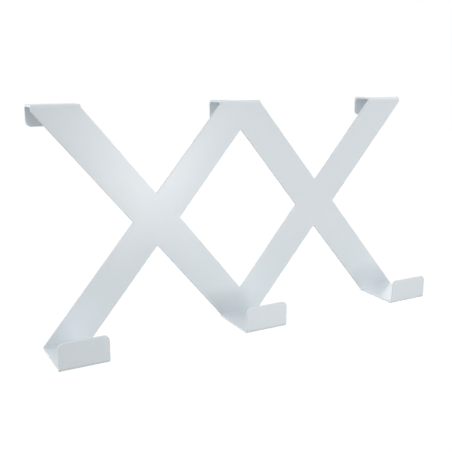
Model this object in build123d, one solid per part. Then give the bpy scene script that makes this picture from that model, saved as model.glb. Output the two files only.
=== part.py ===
from build123d import *
import os

# Over-door coat rack: one sheet of steel, cut to two crosses in a row and folded at its six tips.
# Frame: X along the rack, +Y from the front panel through the door, +Z up, in millimetres. The origin is
# the middle of the underside of the middle bridge, where the rack bears on the door's top edge.

# Driving dimensions: the sheet
sheet = 2.0  # thickness of the steel with its coat
bend_radius = 1.5  # inside radius of every fold
outline_radius = 1.0  # corners of the cut outline, between the folds
edge_break = 0.5  # bevel that breaks the cut edges all round

# Driving dimensions: the panel of two crosses
tip_pitch = 176.0  # from one tip to the next along the rack
rack_height = 212.0  # underside of the hooks to the top of the bridges
waist_width = 46.7  # across a cross, between its left and right notches
waist_height = 48.7  # down a cross, between its upper and lower notches
diamond_height = 157.6  # height of the opening between the crosses

# Driving dimensions: the tabs that go over the door
door_gap = 20.0  # clear space for the door, from panel to back lip
tab_width = 44.0  # width of a bridge, its back lip and the arm that it ends
tab_trim = 2.0  # how far the outer side of an outer tab stands in from the tip of its arm
back_lip_height = 19.0  # top of the bridge to the lip's lower edge
back_lip_corner = 5.0  # rounding of the lip's lower corners

# Driving dimensions: the hooks
hook_width = 44.0  # width of a hook, and of the arm that it ends
hook_depth = 52.0  # panel front to the outside of the hook's lip
hook_lip_height = 25.0  # underside of the hook to the lip's upper edge
hook_corner = 5.0  # rounding of the lip's upper corners

# Planes of the folded sheet
outer_bend = bend_radius + sheet
panel_back = -door_gap / 2
panel_front = panel_back - sheet
lip_front = door_gap / 2
lip_back = lip_front + sheet
hook_front = panel_front - hook_depth
top = sheet
bottom = top - rack_height
mid_height = (top + bottom) / 2

# Tips and notches of the right half, seen from the front. The slanting edges of the arms run from the
# notches to corners halfway round the inside of the folds, and go straight on from there.
upper_corner = top - sheet - bend_radius / 2
lower_corner = bottom + sheet + bend_radius / 2
cross_x = tip_pitch / 2
upper_notch = mid_height + waist_height / 2
lower_notch = mid_height - waist_height / 2
inner_notch = cross_x - waist_width / 2
side_notch = cross_x + waist_width / 2
hook_inner = tip_pitch - hook_width / 2
hook_outer = tip_pitch + hook_width / 2
tab_inner = tip_pitch - tab_width / 2
tab_tip = tip_pitch + tab_width / 2
tab_outer = tab_tip - tab_trim


def folded_strip(width):
    """The whole section, from hook lip to back lip, as a strip of constant width."""
    half = sheet / 2
    fold_line = FilletPolyline(
        (hook_front + half, bottom + hook_lip_height),
        (hook_front + half, bottom + half),
        (panel_front + half, bottom + half),
        (panel_front + half, top - half),
        (lip_front + half, top - half),
        (lip_front + half, top - back_lip_height),
        radius=bend_radius + half,
    )
    section = Plane.YZ * trace(fold_line, line_width=sheet)
    return extrude(section, amount=width / 2, both=True)


def panel_outline():
    """Both crosses, joined at the middle tips, with the outer upper tips trimmed to the tabs."""
    trim_drop = tab_trim * (upper_corner - mid_height) / (tab_tip - side_notch)
    half = make_face(Polyline(
        (0, top),
        (tab_width / 2, top),
        (tab_width / 2, upper_corner),
        (cross_x, upper_notch),
        (tab_inner, upper_corner),
        (tab_inner, top),
        (tab_outer, top),
        (tab_outer, upper_corner - trim_drop),
        (side_notch, mid_height),
        (hook_outer, lower_corner),
        (hook_outer, bottom),
        (hook_inner, bottom),
        (hook_inner, lower_corner),
        (cross_x, lower_notch),
        (hook_width / 2, lower_corner),
        (hook_width / 2, bottom),
        (0, bottom),
        close=True,
    ))
    diamond = make_face(Polyline(
        (0, mid_height + diamond_height / 2),
        (inner_notch, mid_height),
        (0, mid_height - diamond_height / 2),
        (-inner_notch, mid_height),
        close=True,
    ))
    crosses = half + mirror(half, Plane.YZ) - diamond
    corners = crosses.vertices().filter_by_position(Axis.Y, bottom, top, inclusive=(False, False))
    return fillet(corners, outline_radius)


def tab_outlines():
    """The three back lips, with their lower corners rounded."""
    outer_centre = (tab_inner + tab_outer) / 2
    outer_width = tab_outer - tab_inner
    lips = Sketch()
    for x, width in ((-outer_centre, outer_width), (0, tab_width), (outer_centre, outer_width)):
        lip = Pos(x, top) * Rectangle(width, back_lip_height, align=(Align.CENTER, Align.MAX))
        lips += fillet(lip.vertices().group_by(Axis.Y)[0], back_lip_corner)
    return lips


def hook_outlines():
    """The three hook lips, with their upper corners rounded."""
    lips = Sketch()
    for x in (-tip_pitch, 0, tip_pitch):
        lip = Pos(x, bottom) * Rectangle(hook_width, hook_lip_height, align=(Align.CENTER, Align.MIN))
        lips += fillet(lip.vertices().group_by(Axis.Y)[-1], hook_corner)
    return lips


def blank(outline, y_from, y_to):
    """A front-view outline carried along Y between two planes."""
    return extrude(Plane.XZ.offset(-y_to) * outline, amount=y_to - y_from)


def cut_edges(solid):
    """The edges all round the cut rim: those where two faces don't run on smoothly."""
    faces_beside = {}
    for face in solid.faces():
        for edge in face.edges():
            faces_beside.setdefault(edge, []).append(face)
    rim = ShapeList()
    for edge, (one, other) in faces_beside.items():
        middle = edge @ 0.5
        if abs(one.normal_at(middle).dot(other.normal_at(middle))) < 0.99:
            rim.append(edge)
    return rim


# The folded strip keeps what lies inside the outline of each stretch of its depth
strip = folded_strip(2 * max(hook_outer, tab_outer))
hooks = blank(hook_outlines(), hook_front, panel_back - outer_bend)
panel = blank(panel_outline(), panel_back - outer_bend, panel_front + outer_bend)
tabs = blank(tab_outlines(), panel_front + outer_bend, lip_back)
rack = strip & (hooks + panel + tabs)
rack = chamfer(cut_edges(rack), edge_break)

os.makedirs("parts", exist_ok=True)
export_step(rack, "parts/rack_sheet.step")
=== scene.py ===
import math

import bmesh
import bpy
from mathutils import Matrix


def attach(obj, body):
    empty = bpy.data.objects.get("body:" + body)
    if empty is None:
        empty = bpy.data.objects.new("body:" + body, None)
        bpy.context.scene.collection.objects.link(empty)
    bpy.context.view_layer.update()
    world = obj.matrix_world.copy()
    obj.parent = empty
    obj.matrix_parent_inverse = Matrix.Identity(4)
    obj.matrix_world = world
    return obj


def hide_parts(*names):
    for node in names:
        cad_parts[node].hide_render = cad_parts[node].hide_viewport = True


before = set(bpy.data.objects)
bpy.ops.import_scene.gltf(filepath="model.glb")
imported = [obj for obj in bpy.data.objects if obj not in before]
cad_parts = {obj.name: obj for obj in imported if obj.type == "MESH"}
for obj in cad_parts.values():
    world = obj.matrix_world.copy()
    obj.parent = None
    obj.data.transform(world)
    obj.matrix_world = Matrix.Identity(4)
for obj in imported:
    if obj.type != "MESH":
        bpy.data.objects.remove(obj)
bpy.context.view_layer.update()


# The rack: one blank of 2 mm steel sheet, cut to two crosses in a row and folded at its six tips
# into three hooks and three bridges with back lips. It is powder coated all over after folding, so
# the coat rounds every cut edge and runs through the folds. It hangs on a door by its bridges alone.

same_point = 1e-6            # metres, between corners of triangles that are one point of the sheet

coat_deep = (0.765, 0.820, 0.855, 1.0)
coat_pale = (0.785, 0.838, 0.870, 1.0)
coat_ior = 1.5
coat_smoothest = 0.24        # roughness, least and most over the grain
coat_roughest = 0.33
cloud_deep_below = 0.30      # of the clouding's noise, which runs from 0 to 1
cloud_pale_above = 0.70
cloud_scale = 14.0           # noise cells to the metre
peel_scale = 620.0
grain_scale = 2600.0
peel_depth = 0.0004          # metres
grain_depth = 0.0001


def welded_sheet(name, node):
    """The folded sheet with its loose triangles joined, so its coat shades smoothly over folds."""
    mesh = node.data.copy()
    mesh.name = name
    joined = bmesh.new()
    joined.from_mesh(mesh)
    bmesh.ops.remove_doubles(joined, verts=joined.verts, dist=same_point)
    for face in joined.faces:
        face.smooth = True
    joined.to_mesh(mesh)
    joined.free()
    sheet = bpy.data.objects.new(name, mesh)
    bpy.context.scene.collection.objects.link(sheet)
    return sheet


def add_node(tree, kind, **inputs):
    """A node with its input values set, given by socket name with underscores for spaces."""
    node = tree.nodes.new(kind)
    for socket, value in inputs.items():
        node.inputs[socket.replace("_", " ")].default_value = value
    return node


def powder_coat(name):
    """Cool white satin coat: fine orange peel, a finer grain of fused powder, slight clouding."""
    coat = bpy.data.materials.new(name)
    coat.use_nodes = True
    tree = coat.node_tree
    link = tree.links.new
    shader = tree.nodes["Principled BSDF"]
    shader.inputs["IOR"].default_value = coat_ior
    place = tree.nodes.new("ShaderNodeTexCoord").outputs["Object"]

    clouding = add_node(tree, "ShaderNodeTexNoise", Scale=cloud_scale, Detail=3.0, Roughness=0.55)
    link(place, clouding.inputs["Vector"])
    tint = tree.nodes.new("ShaderNodeValToRGB")
    deep, pale = tint.color_ramp.elements
    deep.position, deep.color = cloud_deep_below, coat_deep
    pale.position, pale.color = cloud_pale_above, coat_pale
    link(clouding.outputs["Fac"], tint.inputs["Fac"])
    link(tint.outputs["Color"], shader.inputs["Base Color"])

    grain = add_node(tree, "ShaderNodeTexNoise", Scale=grain_scale, Detail=2.0, Roughness=0.6)
    link(place, grain.inputs["Vector"])
    gloss = add_node(tree, "ShaderNodeMapRange", To_Min=coat_smoothest, To_Max=coat_roughest)
    link(grain.outputs["Fac"], gloss.inputs["Value"])
    link(gloss.outputs["Result"], shader.inputs["Roughness"])

    peel = add_node(tree, "ShaderNodeTexNoise", Scale=peel_scale, Detail=2.0, Roughness=0.45)
    link(place, peel.inputs["Vector"])
    ripple = add_node(tree, "ShaderNodeBump", Strength=0.12, Distance=peel_depth)
    link(peel.outputs["Fac"], ripple.inputs["Height"])
    speckle = add_node(tree, "ShaderNodeBump", Strength=0.06, Distance=grain_depth)
    link(grain.outputs["Fac"], speckle.inputs["Height"])
    link(ripple.outputs["Normal"], speckle.inputs["Normal"])
    link(speckle.outputs["Normal"], shader.inputs["Normal"])
    return coat


rack = welded_sheet("coated_rack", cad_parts["rack_sheet"])
even = rack.modifiers.new("even_faces", "WEIGHTED_NORMAL")
even.keep_sharp = True
rack.data.materials.clear()
rack.data.materials.append(powder_coat("white_powder_coat_satin"))
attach(rack, "root")
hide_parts("rack_sheet")


# The studio floor: a wide pale sheet well below the rack, which hangs clear of it. Its matte paint
# takes the rack's soft shadow, and a glow that only the camera and reflections see makes it white.

floor_level = -0.90          # metres
floor_half = 8.0
floor_grey = (0.30, 0.30, 0.30, 1.0)
floor_roughness = 0.9
floor_glow = 0.82            # what the lit grey lacks to white
pure_white = (1.0, 1.0, 1.0, 1.0)


def seen_directly(tree):
    """1 where a ray comes from the camera, a reflection or clear glass, 0 where light bounces."""
    rays = tree.nodes.new("ShaderNodeLightPath").outputs
    first = tree.nodes.new("ShaderNodeMath")
    first.operation = "MAXIMUM"
    tree.links.new(rays["Is Camera Ray"], first.inputs[0])
    tree.links.new(rays["Is Glossy Ray"], first.inputs[1])
    both = tree.nodes.new("ShaderNodeMath")
    both.operation = "MAXIMUM"
    tree.links.new(first.outputs["Value"], both.inputs[0])
    tree.links.new(rays["Is Transmission Ray"], both.inputs[1])
    return both.outputs["Value"]


floor_mesh = bpy.data.meshes.new("studio_floor")
paper = bmesh.new()
bmesh.ops.create_grid(paper, x_segments=1, y_segments=1, size=floor_half)
bmesh.ops.translate(paper, verts=paper.verts, vec=(0.0, 0.0, floor_level))
paper.to_mesh(floor_mesh)
paper.free()
floor = bpy.data.objects.new("studio_floor", floor_mesh)
bpy.context.scene.collection.objects.link(floor)

pale_floor = bpy.data.materials.new("pale_floor")
pale_floor.use_nodes = True
tree = pale_floor.node_tree
matte = tree.nodes["Principled BSDF"]
matte.inputs["Base Color"].default_value = floor_grey
matte.inputs["Roughness"].default_value = floor_roughness
glow = tree.nodes.new("ShaderNodeMath")
glow.operation = "MULTIPLY"
glow.inputs[1].default_value = floor_glow
tree.links.new(seen_directly(tree), glow.inputs[0])
white = add_node(tree, "ShaderNodeEmission", Color=pure_white)
tree.links.new(glow.outputs["Value"], white.inputs["Strength"])
lit = tree.nodes.new("ShaderNodeAddShader")
tree.links.new(matte.outputs["BSDF"], lit.inputs[0])
tree.links.new(white.outputs["Emission"], lit.inputs[1])
tree.links.new(lit.outputs["Shader"], tree.nodes["Material Output"].inputs["Surface"])
floor_mesh.materials.append(pale_floor)


# The studio: a surround that shows as plain white and lights the rack with a lower, even fill. Soft
# boxes stand in front of the rack, at both sides and behind it, all turned to its middle.

fill_strength = 0.66
backdrop_strength = 1.0
rack_middle = (0.0, -0.03, -0.10)

surround = bpy.data.worlds.new("studio")
bpy.context.scene.world = surround
surround.use_nodes = True
tree = surround.node_tree
fill = tree.nodes["Background"]
fill.inputs["Color"].default_value = pure_white
fill.inputs["Strength"].default_value = fill_strength
backdrop = add_node(tree, "ShaderNodeBackground", Color=pure_white, Strength=backdrop_strength)
either = tree.nodes.new("ShaderNodeMixShader")
tree.links.new(seen_directly(tree), either.inputs["Fac"])
tree.links.new(fill.outputs["Background"], either.inputs[1])
tree.links.new(backdrop.outputs["Background"], either.inputs[2])
tree.links.new(either.outputs["Shader"], tree.nodes["World Output"].inputs["Surface"])


def soft_box(name, place, side, watts):
    """A square soft box at a place, turned to the middle of the rack."""
    lamp = bpy.data.lights.new(name, "AREA")
    lamp.shape = "SQUARE"
    lamp.size = side
    lamp.energy = watts
    box = bpy.data.objects.new(name, lamp)
    bpy.context.scene.collection.objects.link(box)
    box.visible_camera = False
    box.location = place
    right, ahead, up = (end - start for end, start in zip(rack_middle, place))
    tilt = math.atan2(math.hypot(right, ahead), -up)
    turn = math.atan2(ahead, right) - math.pi / 2
    box.rotation_euler = (tilt, 0.0, turn)


soft_box("front_box", place=(0.06, -0.45, -0.10), side=0.20, watts=0.42)
soft_box("low_right_box", place=(0.32, -1.00, -0.25), side=0.20, watts=0.86)
soft_box("low_left_box", place=(-0.90, -0.05, -0.28), side=0.40, watts=1.15)
soft_box("right_box", place=(0.75, -0.45, 0.05), side=0.50, watts=0.45)
soft_box("high_right_box", place=(0.70, -0.10, 0.50), side=0.50, watts=1.10)
soft_box("back_left_box", place=(-0.60, 0.50, 0.00), side=0.50, watts=2.20)
soft_box("back_right_box", place=(0.50, 0.52, -0.02), side=0.40, watts=0.45)
soft_box("low_back_box", place=(0.60, 0.35, -0.45), side=0.40, watts=1.40)


# The camera: a normal lens to the front left of the rack, just above its top and turned down on it.
# Its place, its turn and its lens put the rack's edges where the photograph has them.

image_width = 452.0          # pixels
focal_length = 671.9         # pixels
film_width = 36.0            # millimetres
camera_place = (-0.31770, -0.57158, 0.02896)
camera_turn = math.radians(-28.306)
camera_dip = math.radians(12.993)
nearest_seen = 0.01          # metres

view = bpy.data.cameras.new("camera")
view.sensor_width = film_width
view.lens = film_width * focal_length / image_width
view.clip_start = nearest_seen
camera = bpy.data.objects.new("camera", view)
bpy.context.scene.collection.objects.link(camera)
camera.location = camera_place
camera.rotation_euler = (math.pi / 2 - camera_dip, 0.0, camera_turn)
bpy.context.scene.camera = camera
bpy.context.scene.view_settings.view_transform = "Standard"
